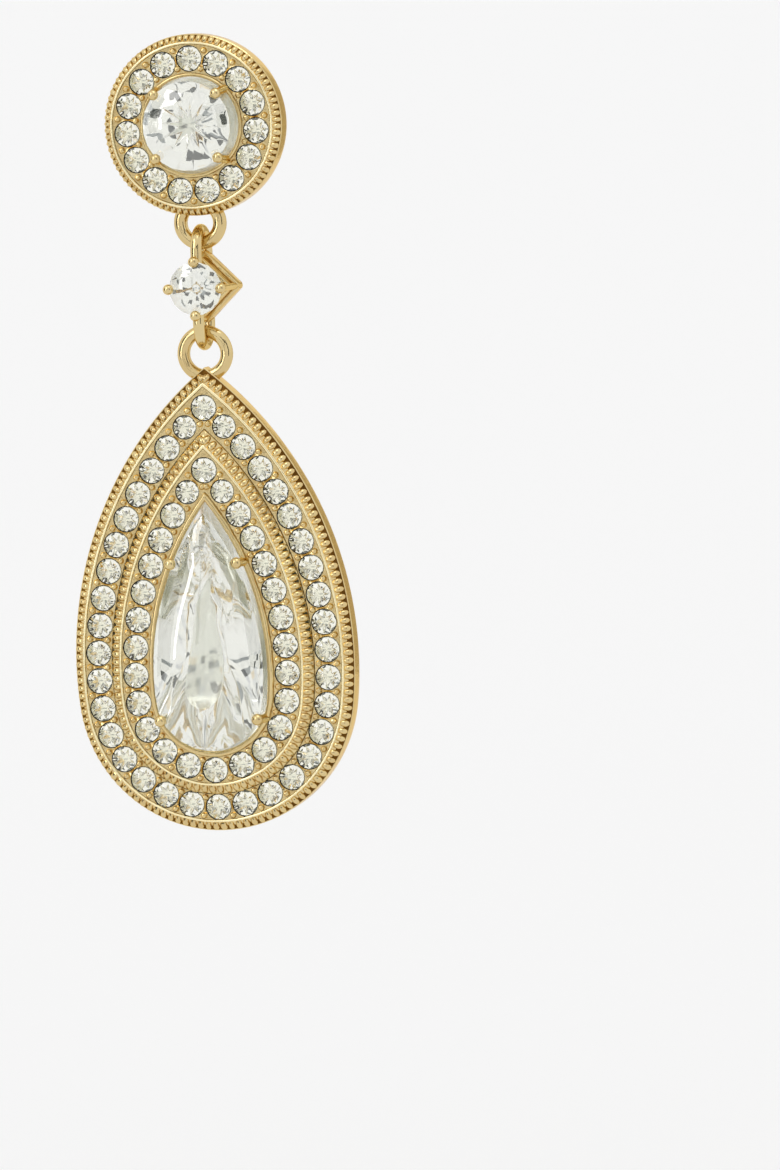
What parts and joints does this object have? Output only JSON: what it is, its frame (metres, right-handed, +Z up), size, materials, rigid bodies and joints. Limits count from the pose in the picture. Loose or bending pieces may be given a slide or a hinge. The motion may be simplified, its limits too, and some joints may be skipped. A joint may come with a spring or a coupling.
{
  "type": "teardrop earring",
  "caption": "Drop earring: a round stud set with stones on an ear post, a small stone link and a teardrop of two stone-set tiers round a pear-shaped stone, hung to swing.",
  "frame": {"origin": "on the ear post's axis, in the plane of the stud's flat back, which bears on the ear lobe", "axes": "+Z up, +Y along the post towards its tip, so the front of the jewel faces -Y; +X is to the right seen from the front"},
  "size_m": [0.016, 0.0159, 0.0446],
  "materials": {
    "gold_plate": "polished pale gold plate over cast brass",
    "pave": "small clear cut stones fused on their gold-plated band",
    "stone": "clear cut cubic zirconia, polished facets",
    "post_steel": "drawn wire, silver-coloured, lightly brushed"
  },
  "bodies": {
    "stud": {"stud_frame": "gold_plate", "stud_pave": "pave", "stud_stone": "stone", "ear_post": "post_steel"},
    "link": {"link_frame": "gold_plate", "link_stone": "stone"},
    "drop": {"drop_frame": "gold_plate", "drop_outer_pave": "pave", "drop_inner_pave": "pave", "drop_stone": "stone"}
  },
  "joints": [
    {"name": "link_swing", "type": "hinge", "parent": "stud", "child": "link", "pos_m": [0, -0.001, -0.00662], "axis": [1, 0, 0], "range_deg": [-45, 45]},
    {"name": "drop_swing", "type": "hinge", "parent": "link", "child": "drop", "pos_m": [0, -0.001, -0.0123], "axis": [0, 1, 0], "range_deg": [-40, 40]}
  ]
}
